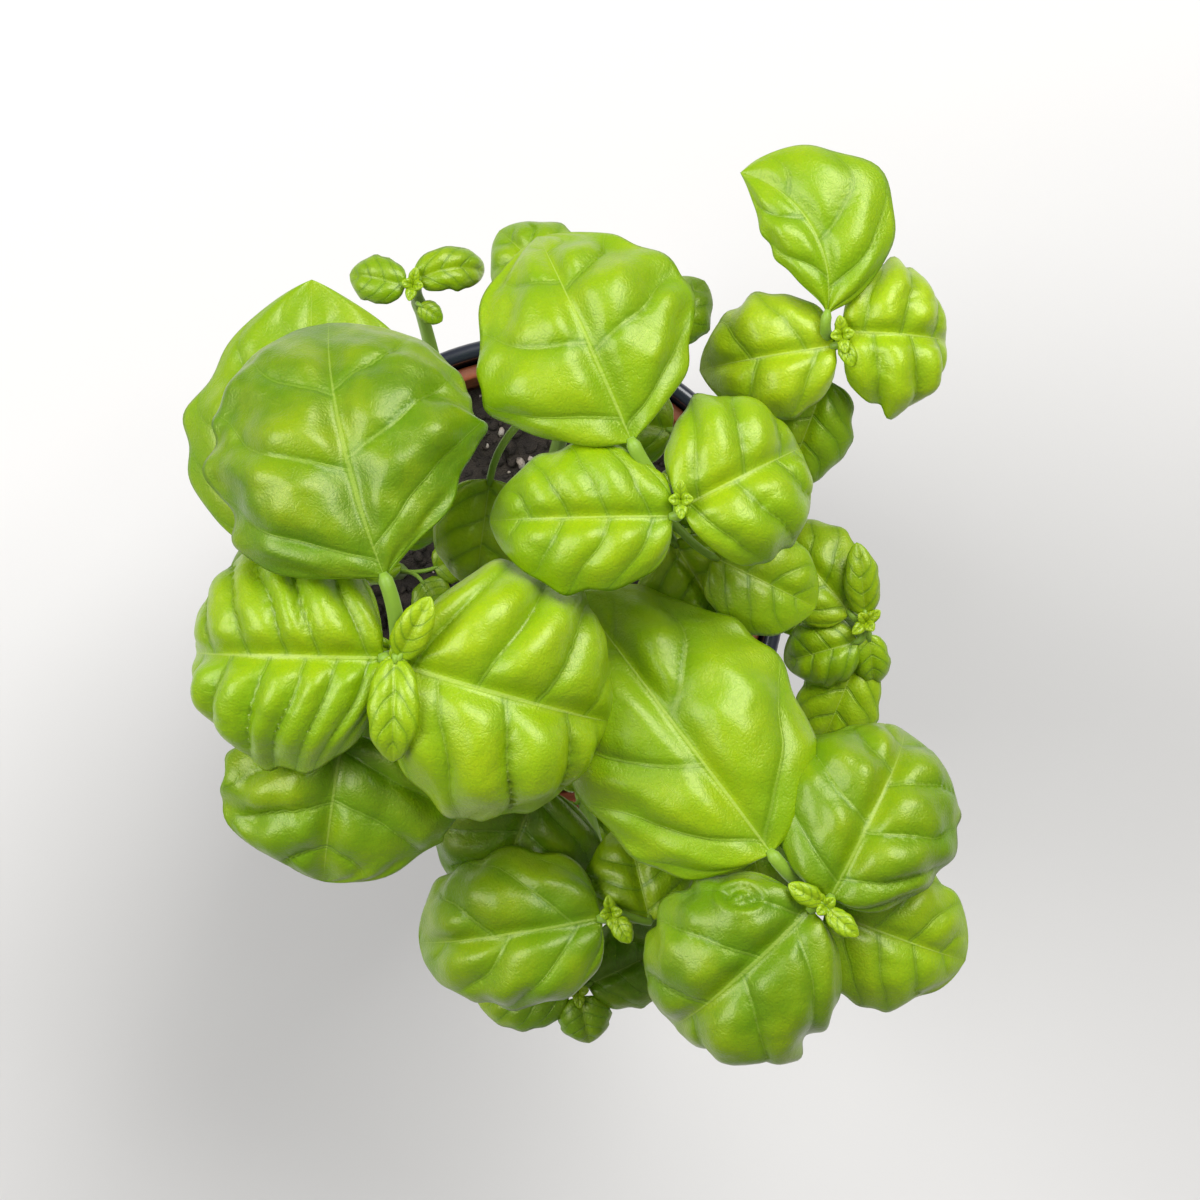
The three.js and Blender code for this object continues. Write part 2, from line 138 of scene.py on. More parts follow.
PLANTS["basil_4"] = leafy_stem(
    (32, 26), (69.1, 53.5, 252),
    leaf(68.2, 51.4, 251, 189, 35, 30, 12, 70, crown=14, skirt=50, left=(0.12, 0.5, 0.85),
         right=(0.2, 0.55, 0.85), puff=1.1, slant=0.3, tone=0.93),
    leaf(69.2, 54.4, 251, -3, 31, 38, 14, 88, crown=14, skirt=62, blunt=0.34, left=(0.15, 0.42, 0.7),
         right=(0.22, 0.5, 0.75), puff=1.9, slant=0.14, tone=0.86, crinkle=1.8),
    leaf(65.6, 57.2, 255, 121, 41, 34, 14, 34, crown=10, skirt=38, bend=82, node=240, taper=0.17, blunt=0.5,
         tipped=0.3, halves=(0.62, 1.15), left=(0.2, 0.55), right=(0.15, 0.4, 0.7), puff=1.2, tone=0.52,
         ruffle=1.2),
    leaf(66.5, 45, 240, -110, 28, 22, 0, 55, skirt=45, node=234, tone=0.5),
    leaf(69.4, 52, 252, -70, 6, 4, 30, 20, **YOUNG),
    leaf(34, 36, 196, 168, 26, 24, 12, 55, node=188, **LOW),
    leaf(46, 26, 196, -85, 26, 24, 12, 55, node=188, **LOW),
)
PLANTS["basil_5"] = leafy_stem(
    (40, -4), (77.4, -8.6, 215),
    leaf(74.2, -7, 215, 130, 29, 24, 12, 58, skirt=38, tone=0.8),
    leaf(77.2, -7, 216, 98, 18, 9, 40, 20, skirt=40, tone=0.7),
    leaf(75.8, -13, 213, 196, 20, 19, 10, 68, crown=14, skirt=54, puff=0.7, tone=0.5),
    leaf(78.2, -11.5, 213, -82, 15, 9, -5, 70, skirt=50, tone=0.7),
    leaf(76.5, -16, 208, -112, 27, 20, 5, 45, skirt=40, node=200, tone=0.85),
    # Painted light: this leaf lies in the shade of the leaves above it and gets a pale tone so that it reads
    # as lit.
    leaf(69.2, -28, 197, -112, 17, 13, 5, 35, skirt=40, node=185, tone=1.0, puff=0.2),
)
PLANTS["basil_6"] = leafy_stem(
    (8, -34), (19.5, -74.5, 216),
    leaf(17.8, -75.8, 216, 190, 52, 39, 12, 72, crown=14, skirt=54, blunt=0.32, left=(0.1, 0.42, 0.75),
         right=(0.14, 0.5), halves=(1.0, 1.06), puff=1.5, slant=0.5, tone=0.26, ruffle=2.0, crinkle=0.7),
    leaf(28.5, -77, 213, 104, 25, 27, 5, 50, tone=0.5, puff=1.2),
    leaf(3, -46, 208, -112, 36, 44, 5, 50, node=190, tone=0.1),
    leaf(20.5, -75.5, 217, -60, 7, 5, 30, 20, **YOUNG),
    leaf(16, -40, 168, 50, 24, 22, 12, 55, node=160, **LOW),
)
PLANTS["basil_7"] = leafy_stem(
    (-20, 36), (-28.1, 72.4, 172),
    leaf(-29.8, 72.4, 172, 168, 16, 13, 12, 60, tone=0.4),
    leaf(-27.4, 73.4, 172, 5, 22, 12, 14, 90, bend=-50, tone=0.4),
    leaf(-26.8, 68, 168, -35, 7, 6, 5, 40, skirt=40, node=160, tone=0.4),
)
PLANTS["basil_8"] = leafy_stem(
    (-6, -46), (11.8, -96, 185),
    leaf(9.8, -96.6, 185, 186, 25, 18, 10, 55, tone=0.3),
    leaf(13.8, -95, 185, 25, 25, 24, 10, 55, tone=0.15),
    leaf(12.4, -97.5, 185, -80, 13, 14, 10, 55, tone=0.3),
    leaf(-14, -50, 150, 158, 28, 26, 12, 55, node=143, **LOW),
)
PLANTS["basil_9"] = leafy_stem(
    (-36, 4), (-46, 0, 238),
    leaf(-45.5, 4, 241, 91, 64, 62, 8, 22, crown=8, skirt=40, blunt=0.6, node=236, tone=0.4, puff=1.0),
    leaf(-25.5, 4.5, 128, 20, 10, 11, 10, 20, **SOIL_LEAF),
    leaf(-28.5, 1.2, 128, -55, 9, 11, 10, 20, **SOIL_LEAF),
    leaf(-46, 2, 186, 175, 28, 26, 12, 55, node=180, **LOW),
    leaf(-34, 10, 186, 62, 28, 26, 12, 55, node=180, **LOW),
)
PLANTS["basil_10"] = leafy_stem(
    (2, 20), (14, 54, 238),
    leaf(11, 62, 240, 135, 26, 24, 10, 60, skirt=55, puff=1.1, tone=0.35),
    leaf(28, 54, 232, 48, 20, 17, 10, 50, skirt=45, tone=0.3),
    # Painted light: this leaf lies in the shade of the leaves above it and gets a pale tone so that it reads
    # as lit.
    leaf(-7.6, 23.6, 226, -98, 28, 24, 10, 60, node=205, tone=0.95),
)


# Settings a user would change

class BasilSettings(bpy.types.PropertyGroup):
    """Leaves and stems."""
    blade: FloatProperty(
        name="Blade thickness", description="Thickness of a leaf blade", default=0.00035, unit="LENGTH")
    puff: FloatProperty(
        name="Puffiness", description="Height of the swellings between the veins",
        default=1.0, min=0.0, max=2.0)
    grid: FloatProperty(
        name="Blade grid", description="Spacing of the blade's mesh", default=0.00085, unit="LENGTH")
    stem_foot: FloatProperty(
        name="Stem foot radius", description="Stem radius at the soil", default=0.0022, unit="LENGTH")
    stem_tip: FloatProperty(
        name="Stem tip radius", description="Stem radius at the top", default=0.0014, unit="LENGTH")
    petiole: FloatProperty(
        name="Leaf stalk radius", description="Radius of a leaf stalk at the stem",
        default=0.0011, unit="LENGTH")
    old: FloatVectorProperty(
        name="Old leaf", description="Colour of the oldest leaves",
        default=(0.064, 0.150, 0.001), subtype="COLOR")
    fresh: FloatVectorProperty(
        name="Fresh leaf", description="Colour of full-grown leaves",
        default=(0.205, 0.355, 0.001), subtype="COLOR")
    vein: FloatVectorProperty(
        name="Vein", description="Colour of the midrib and side veins",
        default=(0.38, 0.51, 0.09), subtype="COLOR")
    underside: FloatVectorProperty(
        name="Underside", description="Colour of the leaf undersides",
        default=(0.25, 0.36, 0.07), subtype="COLOR")
    stem: FloatVectorProperty(
        name="Stem", description="Colour of stems and leaf stalks",
        default=(0.25, 0.40, 0.015), subtype="COLOR")


class PotSettings(bpy.types.PropertyGroup):
    """Cover pot and nursery pot."""
    rim: FloatProperty(
        name="Cover rim radius", description="Outer radius of the rolled rim", default=0.065, unit="LENGTH")
    height: FloatProperty(
        name="Cover height", description="Height of the cover pot", default=0.120, unit="LENGTH")
    bead: FloatProperty(
        name="Rim bead", description="Radius of the rolled rim's bead", default=0.0021, unit="LENGTH")
    enamel: FloatVectorProperty(
        name="Enamel", description="Colour of the cover pot",
        default=(0.010, 0.013, 0.022), subtype="COLOR")
    plastic: FloatVectorProperty(
        name="Nursery plastic", description="Colour of the nursery pot",
        default=(0.30, 0.085, 0.035), subtype="COLOR")


class SoilSettings(bpy.types.PropertyGroup):
    """Potting soil."""
    clods: IntProperty(
        name="Clods", description="Number of loose crumbs on the soil", default=1300, min=0, max=1600)
    perlite: IntProperty(
        name="Perlite", description="Number of white perlite grains", default=260, min=0, max=400)
    peat: FloatVectorProperty(
        name="Peat", description="Colour of the dark soil", default=(0.012, 0.009, 0.007), subtype="COLOR")
    grain: FloatVectorProperty(
        name="Perlite colour", description="Colour of the perlite",
        default=(0.40, 0.37, 0.33), subtype="COLOR")


class StageSettings(bpy.types.PropertyGroup):
    """Floor, lights and camera."""
    eye: FloatVectorProperty(
        name="Camera", description="Place of the camera",
        default=(0.0170, -0.0036, 0.920), subtype="TRANSLATION")
    lens: FloatProperty(name="Lens", description="Focal length in millimetres", default=93.0)
    floor: FloatVectorProperty(
        name="Floor", description="Colour of the pale floor",
        default=(0.665, 0.655, 0.645), subtype="COLOR")
    key: FloatProperty(
        name="Key light", description="Power of the large soft light in watts", default=16.8)
    sky: FloatProperty(name="Sky", description="Strength of the even light from all round", default=0.24)


# Leaf shape: the same blade as the solid, with veins, swellings and a thin margin

SPINE_STEPS = 480


def outline(t, blunt, tipped):
    return np.maximum(np.sin(np.pi * t ** 0.86), 0) ** (blunt + tipped * t)


def smooth(value, low, high):
    share = np.clip((value - low) / (high - low), 0, 1)
    return share * share * (3 - 2 * share)


def ridge(value, reach):
    """A soft ridge that is 1 where the value is 0 and sinks over the reach."""
    return np.exp(-((value / reach) ** 2))


def side_slant(a, slant):
    """How far towards the tip a side vein has run at distance a from the midrib."""
    return slant * (0.5 * a + 0.5 * a ** 2.4)


def cells(x, y, size, local):
    """How far each place is from the edge of its cell in an uneven net, 0 at the edge."""
    table = local.uniform(0, 1, (64, 64, 2))
    gx, gy = x / size, y / size
    ix, iy = np.floor(gx).astype(int), np.floor(gy).astype(int)
    near, second = np.full(gx.shape, 9.0), np.full(gx.shape, 9.0)
    for dx in (-1, 0, 1):
        for dy in (-1, 0, 1):
            seed = table[(ix + dx) % 64, (iy + dy) % 64]
            far = np.hypot(ix + dx + seed[..., 0] - gx, iy + dy + seed[..., 1] - gy)
            second = np.minimum(second, np.maximum(near, far))
            near = np.minimum(near, far)
    return second - near


def vein_phase(along_rib, starts):
    """Counts the side veins: a whole number lies on a vein, a half between two."""
    first, last = starts[1] - starts[0], starts[-1] - starts[-2]
    places = [starts[0] - 3 * first, *starts, starts[-1] + 3 * last]
    return np.interp(along_rib, places, [-2, *range(1, len(starts) + 1), len(starts) + 3])


def blade_surface(shape, t, v, seed):
    """The smooth blade: its points, its normals and how far each half reaches sideways.

    t is a column that runs from base to tip, v a row that runs across from -1 to 1.
    """
    s = np.linspace(0, 1, SPINE_STEPS + 1)
    slope = np.radians(shape["rise"] + (-shape["fall"] - shape["rise"]) * s ** 1.4)
    turn = np.radians(shape["heading"] + shape["bend"] * (s - 0.5))
    along = np.stack([np.cos(slope) * np.cos(turn), np.cos(slope) * np.sin(turn), np.sin(slope)], 1)
    steps = (along[1:] + along[:-1]) / 2 * (shape["length"] / SPINE_STEPS)
    midrib = np.vstack([[0, 0, 0], np.cumsum(steps, 0)]) + np.array(shape["base"], float)
    pick = lambda values: np.interp(t[:, 0] * SPINE_STEPS, np.arange(SPINE_STEPS + 1), values)
    origin, forward = (np.stack([pick(line[:, k]) for k in range(3)], 1) for line in (midrib, along))
    angle = pick(turn)
    side = np.stack([-np.sin(angle), np.cos(angle), np.zeros_like(angle)], 1)
    up = np.cross(forward, side)

    a = np.abs(v)
    share = outline(t, shape["blunt"], shape["tipped"])
    taper = np.where(v > 0, *np.broadcast_to(shape["taper"], 2))
    narrow = 1 - 0.88 * np.exp(-(t / taper) ** 1.3)
    start = np.radians(shape["crown"]) * share ** 0.6
    sweep = np.maximum(np.radians(shape["crown"] + shape["skirt"]) * share ** 0.6, 1e-6)
    edge = np.random.default_rng(seed + 5000)
    uneven = 1 + 0.028 * sum(
        np.sin(k * np.pi * t + edge.uniform(0, 6) + np.where(v > 0, 0, edge.uniform(1, 5)))
        for k in (3, 5, 8))
    reach = share * narrow * uneven * np.where(v > 0, *shape["halves"]) * shape["width"] / 2
    across = (np.sin(start) - np.sin(start - sweep * a)) / sweep * reach
    ripple = shape["wave"] * np.sin(5 * np.pi * t + np.where(v > 0, 0, 1.3)) * a * a * share
    lift = (np.cos(start - sweep * a) - np.cos(start)) / sweep * reach + ripple
    points = (origin[:, None] + side[:, None] * (np.sign(v) * across)[..., None]
              + up[:, None] * lift[..., None])

    normal = np.cross(np.gradient(points, axis=0), np.gradient(points, axis=1))
    normal /= np.maximum(np.linalg.norm(normal, axis=2, keepdims=True), 1e-9)
    middle = v.size // 2
    normal[0] = normal[1, middle]
    normal[-1] = normal[-2, middle]
    return points, normal, reach


def blade_relief(shape, puffiness, t, v, reach, seed):
    """Height of the relief over the smooth blade, vein phase and depth of the ribs below."""
    length, width, puff = shape["length"], shape["width"], shape["puff"]
    a = np.abs(v)
    local = np.random.default_rng(seed)
    wobble = (0.018 * np.sin(7 * t + 6 * v + local.uniform(0, 6))
              + 0.010 * np.sin(17 * t - 9 * v + local.uniform(0, 6)))
    along_rib = t - side_slant(a, shape["slant"]) + wobble * a
    phase = np.where(v > 0, vein_phase(along_rib, shape["left"]), vein_phase(along_rib, shape["right"]))
    between = np.abs(2 * (phase - np.floor(phase)) - 1)
    ends = np.clip(np.sin(np.pi * t), 0, 1) ** 0.5
    fade = (ends * (1 - ridge(a, 0.14)) * (1 - 0.92 * smooth(a, 0.5, 1.0))
            * (1 - 0.8 * smooth(t, 0.7, 0.97)))
    uneven = 1 + 0.38 * sum(
        np.sin(k * t * length / 9 + m * v * width / 18 + local.uniform(0, 6))
        for k, m in ((1.0, 0.7), (0.6, -1.3))) / 2
    swell = 1.15 * puff * puffiness * (1 - between ** 2.0) * fade * uneven
    crease = -0.16 * puff * ridge(1 - between, 0.07) * fade

    waves = np.zeros_like(phase)
    for wave_length, depth, count in ((26, 0.30, 4), (10, 0.10, 6)):
        for _ in range(count):
            turn_by = local.uniform(0, 2 * np.pi)
            push = np.cos(turn_by) * t * length + np.sin(turn_by) * v * width / 2
            waves += depth * np.sin(2 * np.pi * push / (wave_length * local.uniform(0.75, 1.3))
                                    + turn_by * 9)
    waves *= shape["ruffle"] * ends * (0.3 + 0.7 * a) * min(1.0, length / 30)

    lateral = a * reach
    deep = min(1.0, length / 45)
    groove = (-1.15 * deep * ridge(lateral, 2.6 * deep + 0.3)
              + 0.25 * deep * ridge(lateral, 0.55)) * (1 - t) ** 0.5
    x = t * length + 1.2 * np.sin(v * width / 7 + 2)
    y = v * reach + 1.2 * np.sin(t * length / 6 + 1)
    quilt = 1 - np.exp(-cells(x, y, min(6.5, 2.5 + length / 14), local) / 0.4)
    quilt *= 0.30 * min(1.0, length / 30) * shape["crinkle"] * fade
    height = swell + crease + waves + groove + quilt
    if shape["knot"]:
        knot_t, knot_v, size, depth = shape["knot"]
        far = np.hypot((t - knot_t) * length, (v - knot_v) * reach) / size
        height += depth * np.cos(far * 2 * np.pi) * np.exp(-(far / 1.1) ** 4)
    rib = 1.25 * ridge(lateral, 0.75) * (1 - t) ** 0.8 + 0.22 * ridge(1 - between, 0.12) * fade
    return height, phase, rib


def blade_grid(shape, settings, seed):
    """Upper and lower points of a blade with its place, vein phase and distance from the midrib."""
    step = settings.grid / MM
    rows = int(max(12, min(78, shape["length"] / step)))
    columns = 2 * int(max(5, min(38, shape["width"] / step / 2)))
    even = np.linspace(0, 1, rows + 1)
    t = (0.45 * even + 0.55 * (0.5 - 0.5 * np.cos(np.pi * even)))[:, None]
    v = np.linspace(-1, 1, columns + 1)[None, :]
    v = np.sign(v) * np.abs(v) ** 1.25
    points, normal, reach = blade_surface(shape, t, v, seed)
    height, phase, rib = blade_relief(shape, settings.puff, t, v, reach, seed)
    a = np.abs(v) + 0 * t
    half = settings.blade / MM / 2 * (1 - 0.55 * a ** 8)
    upper = points + normal * (height + half)[..., None]
    lower = points + normal * (height - half - rib)[..., None]
    for sheet in (upper, lower):
        for end in (0, -1):
            sheet[end] = sheet[end, columns // 2]
    return upper, lower, t[:, 0], v[0], phase, a


def add_object(name, data):
    """A new object that holds the data, linked into the scene."""
    thing = bpy.data.objects.new(name, data)
    bpy.context.scene.collection.objects.link(thing)
    return thing


def new_piece(name, points, faces, materials):
    """A smooth-shaded mesh object from points in millimetres."""
    mesh = bpy.data.meshes.new(name)
    mesh.from_pydata((np.asarray(points, float) * MM).tolist(), [], faces)
    mesh.polygons.foreach_set("use_smooth", [True] * len(faces))
    for material in materials:
        mesh.materials.append(material)
    return add_object(name, mesh)


class MeshParts:
    """Gathers points, faces, texture coordinates and tones of one piece."""

    def __init__(self):
        self.points, self.faces, self.material = [], [], []
        self.place, self.veins, self.tone = [], [], []
        self.count = 0

    def add_points(self, points, tone):
        first = self.count
        self.points.append(points)
        self.tone.append(np.full(len(points), tone))
        self.count += len(points)
        return first

    def face(self, corners, material, place, veins):
        self.faces.append(corners)
        self.material.append(material)
        self.place.extend(place)
        self.veins.extend(veins)

    def build(self, name, materials):
        piece = new_piece(name, np.concatenate(self.points), self.faces, materials)
        mesh = piece.data
        mesh.polygons.foreach_set("material_index", self.material)
        for label, values in (("BladePlace", self.place), ("VeinPhase", self.veins)):
            layer = mesh.uv_layers.new(name=label)
            layer.data.foreach_set("uv", np.array(values, float).ravel())
        tone = mesh.attributes.new("leaf_tone", "FLOAT", "POINT")
        tone.data.foreach_set("value", np.concatenate(self.tone))
        mesh.validate()
        return piece


def add_blade(parts, shape, settings, seed):
    upper, lower, t, v, phase, a = blade_grid(shape, settings, seed)
    rows, columns = len(t) - 1, len(v) - 1
    middle = columns // 2
    number, points = {}, []
    for sheet, grid in enumerate((upper, lower)):
        for i in range(rows + 1):
            for j in range(columns + 1):
                if 0 < i < rows or j == middle:
                    number[(sheet, i, j)] = len(points)
                    points.append(grid[i, j])
    first = parts.add_points(np.array(points), shape["tone"])

    def add_face(corners, material, right=False):
        """Adds a face of (sheet, i, j) corners; those that meet in an end point count once.

        A corner on the midrib takes its vein phase from the half that the face lies on.
        """
        seen, used = [], []
        for sheet, i, j in corners:
            index = first + number[(sheet, i, j if 0 < i < rows else middle)]
            if index not in seen:
                seen.append(index)
                used.append((i, j))
        if len(seen) > 2:
            parts.face(seen, material, [(v[j] * 0.5 + 0.5, t[i]) for i, j in used],
                       [(phase[i, j + int(right and j == middle)], a[i, j]) for i, j in used])

    for i in range(rows):
        for j in range(columns):
            for sheet, turn in ((TOP_FACE, 1), (UNDER_FACE, -1)):
                corners = [(sheet, i, j), (sheet, i + 1, j), (sheet, i + 1, j + 1), (sheet, i, j + 1)]
                add_face(corners[::turn], sheet, v[j] + v[j + 1] > 0)
    for j, turn in ((0, 1), (columns, -1)):
        for i in range(rows):
            add_face([(0, i, j), (1, i, j), (1, i + 1, j), (0, i + 1, j)][::turn], TOP_FACE)


def bezier(a, b, c, d, steps):
    t = np.linspace(0, 1, steps + 1)[:, None]
    a, b, c, d = (np.array(p, float) for p in (a, b, c, d))
    return (1 - t) ** 3 * a + 3 * (1 - t) ** 2 * t * b + 3 * (1 - t) * t * t * c + t ** 3 * d


def add_tube(parts, path, radii, sides, tone, square=0.0):
    """A closed stem along the path; square makes its section a little square."""
    path = np.asarray(path, float)
    last = len(path) - 1
    tangent = np.gradient(path, axis=0)
    tangent /= np.linalg.norm(tangent, axis=1)[:, None]
    away = np.array([1.0, 0, 0]) if abs(tangent[0][0]) < 0.8 else np.array([0, 1.0, 0])
    side = np.cross(tangent[0], away)
    turn = np.linspace(0, 2 * np.pi, sides, endpoint=False)
    shape = 1 + square * np.cos(4 * turn)
    points = []
    for i in range(last + 1):
        side = side - tangent[i] * (side @ tangent[i])
        side /= np.linalg.norm(side)
        up = np.cross(tangent[i], side)
        ring = np.cos(turn)[:, None] * side + np.sin(turn)[:, None] * up
        points.append(path[i] + ring * (radii[i] * shape)[:, None])
    first = parts.add_points(np.concatenate([*points, path[:1], path[-1:]]), tone)
    foot, final = first + (last + 1) * sides, first + last * sides
    for k in range(sides):
        n = (k + 1) % sides
        faces = [[foot, first + n, first + k], [foot + 1, final + k, final + n]]
        for low in range(first, final, sides):
            faces.append([low + k, low + n, low + n + sides, low + k + sides])
        for face in faces:
            flat = [(0.5, 0.5)] * len(face)
            parts.face(face, STEM_FACE, flat, flat)


def stem_path(plant):
    (x0, y0), (x1, y1, z1) = plant["root"], plant["apex"]
    foot = np.array([x0, y0, SOIL_TOP + 4.0])
    top = np.array([x1, y1, z1], float)
    rise = z1 - foot[2]
    lower = foot + np.array([0, 0, rise * 0.45])
    upper = top - np.array([(x1 - x0) * 0.1, (y1 - y0) * 0.1, rise * 0.4])
    return np.vstack([[x0, y0, SOIL_TOP - SOIL_SINK], [x0, y0, SOIL_TOP],
                      bezier(foot, lower, upper, top, 46)])


def at_height(path, z):
    return np.array([np.interp(z, path[:, 2], path[:, k]) for k in range(3)])


def stalk_path(path, shape):
    """A leaf stalk's way from its node on the stem to the blade's start."""
    top = path[-1, 2]
    height = shape["node"] or top - 2
    start = at_height(path, min(height, top - 1.5))
    end = np.array(shape["base"], float)
    turn = math.radians(shape["heading"] - shape["bend"] / 2)
    slope = math.radians(shape["rise"])
    along = np.array([math.cos(slope) * math.cos(turn), math.cos(slope) * math.sin(turn), math.sin(slope)])
    span = np.linalg.norm(end - start)
    straight = np.clip((end - start) @ along / span / 0.5, 0, 1)
    leave = start + np.array([0, 0, span * 0.3]) + (end - start) * 0.15
    arrive = end - along * span * (0.06 + 0.29 * straight)
    return np.vstack([bezier(start, leave, arrive, end, 14), end + along * 1.6 - np.array([0, 0, 0.3])])


NODE_BULGE, NODE_REACH = 0.35, 2.2  # how much a stem swells at a leaf pair, and over what height
BARE_FOOT, BARE_TOP = 25, 25  # no side shoots this near to the soil or to the stem's top


def add_side_shoot(parts, settings, node, around, seed):
    """Two pairs of small leaves in the axils of a leaf pair, the upper pair smaller."""
    for k in range(4):
        upper = k > 1
        out = math.radians(around + 90 * upper + 180 * (k % 2))
        size = 6.5 if upper else 10.5
        base = node + np.array([2.6 * math.cos(out), 2.6 * math.sin(out), 3.2 + upper])
        shoot = leaf(*base, math.degrees(out), size, size * 0.62, 48, 22,
                     **{**YOUNG, "tone": 0.62, "crown": 28})
        add_tube(parts, bezier(node, node + [0, 0, 1.6], base - [0, 0, 0.8], base, 5),
                 np.linspace(0.75, 0.45, 6), 6, 0.5)
        add_blade(parts, shoot, settings, seed + k)


def add_buds(parts, settings, apex, heading, seed):
    """Four tiny leaves that close the stem's top, two wide and two steep."""
    for k, (size, rise) in enumerate(((4.6, 40), (3.4, 62)) * 2):
        bud = leaf(apex[0], apex[1], apex[2] + 0.3, heading + 90 + 90 * k, size, 2.9, rise, 5,
                   **{**YOUNG, "puff": 0.1, "crown": 26})
        add_blade(parts, bud, settings, seed + k)


def build_plant(name, plant, settings, materials):
    parts = MeshParts()
    number = int(name.split("_")[1])
    path = stem_path(plant)
    low, high = path[0, 2], path[-1, 2]
    foot, tip = settings.stem_foot / MM, settings.stem_tip / MM
    radii = foot + (tip - foot) * (path[:, 2] - low) / (high - low)
    heights = {shape["node"] or high - 2 for shape in plant["leaves"]}
    for height in heights:
        radii = radii + NODE_BULGE * ridge(path[:, 2] - height, NODE_REACH)
    radii[-1] *= 0.6
    add_tube(parts, path, radii, 16, 0.35, square=0.07)
    for k, shape in enumerate(plant["leaves"]):
        stalk = stalk_path(path, shape)
        small = 0.6 if shape["length"] < 12 else 1.0
        stout = 1 + 0.8 * smooth(shape["length"], 25, 60)
        thick = small * stout * np.linspace(settings.petiole / MM, 0.85, len(stalk))
        thick[0] *= 1.2
        thick[-1] *= 0.5
        add_tube(parts, stalk, thick, 10, 0.3 + 0.4 * shape["tone"], square=0.04)
        add_blade(parts, shape, settings, 100 * number + k)
    for height in sorted(heights):
        if SOIL_TOP + BARE_FOOT <= height <= high - BARE_TOP:
            add_side_shoot(parts, settings, at_height(path, height), 40 + 137 * number + height,
                           7000 + 50 * number + int(height))
    add_buds(parts, settings, plant["apex"], plant["leaves"][0]["heading"], 900 + 10 * number)
    piece = parts.build(name + "_leafy_stem", materials)
    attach(piece, "root")
    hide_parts(name)


# Material helpers

NUMBER, COLOUR = "NodeSocketFloat", "NodeSocketColor"  # kinds of group sockets


class Graph:
    """Short ways to add and join shader nodes."""

    def __init__(self, tree):
        self.tree = tree

    def add(self, kind, **values):
        node = self.tree.nodes.new(kind)
        for key, value in values.items():
            setattr(node, key, value)
        return node

    def join(self, source, target):
        self.tree.links.new(source, target)

    def feed(self, socket, value):
        if isinstance(value, bpy.types.NodeSocket):
            self.join(value, socket)
        else:
            socket.default_value = value

    def math(self, operation, a, b=0.0, c=0.0):
        node = self.add("ShaderNodeMath", operation=operation)
        for socket, value in zip(node.inputs, (a, b, c)):
            self.feed(socket, value)
        return node.outputs[0]

    def times(self, a, b):
        return self.math("MULTIPLY", a, b)

    def plus(self, a, factor, rest):
        """a times the factor, added to the rest."""
        return self.math("MULTIPLY_ADD", a, factor, rest)

    def less(self, a, b):
        return self.math("SUBTRACT", a, b)

    def band(self, value, low, high, out_low=0.0, out_high=1.0):
        node = self.add("ShaderNodeMapRange", interpolation_type="SMOOTHSTEP")
        for socket, source in zip(node.inputs, (value, low, high, out_low, out_high)):
            self.feed(socket, source)
        return node.outputs[0]

    def mix(self, share, a, b):
        node = self.add("ShaderNodeMix", data_type="RGBA")
        for index, value in ((0, share), (6, a), (7, b)):
            self.feed(node.inputs[index], value)
        return node.outputs[2]

    def tint(self, base, *layers):
        """Lays colours over the base, each by its mask times its share."""
        for mask, share, value in layers:
            base = self.mix(self.times(mask, share), base, value)
        return base

    def noise(self, vector, scale, detail=3.0, roughness=0.55, output="Fac"):
        node = self.add("ShaderNodeTexNoise")
        self.join(vector, node.inputs["Vector"])
        for label, value in (("Scale", scale), ("Detail", detail), ("Roughness", roughness)):
            self.feed(node.inputs[label], value)
        return node.outputs[output]

    def cells(self, vector, scale):
        node = self.add("ShaderNodeTexVoronoi", feature="DISTANCE_TO_EDGE")
        self.join(vector, node.inputs["Vector"])
        self.feed(node.inputs["Scale"], scale)
        return node.outputs["Distance"]

    def body(self):
        return self.add("ShaderNodeTexCoord").outputs["Object"]

    def tone(self):
        return self.add("ShaderNodeAttribute", attribute_name="leaf_tone",
                        attribute_type="GEOMETRY").outputs["Fac"]

    def split(self, vector):
        node = self.add("ShaderNodeSeparateXYZ")
        self.join(vector, node.inputs[0])
        return node.outputs


def group(name, inputs, outputs):
    """A new shader node group with named sockets; returns the tree, its graph and ends."""
    tree = bpy.data.node_groups.new(name, "ShaderNodeTree")
    for label, kind, default in inputs:
        socket = tree.interface.new_socket(name=label, in_out="INPUT", socket_type=kind)
        socket.default_value = default
    for label, kind in outputs:
        tree.interface.new_socket(name=label, in_out="OUTPUT", socket_type=kind)
    graph = Graph(tree)
    return tree, graph, graph.add("NodeGroupInput").outputs, graph.add("NodeGroupOutput").inputs


def color(value):
    return (*value, 1.0)


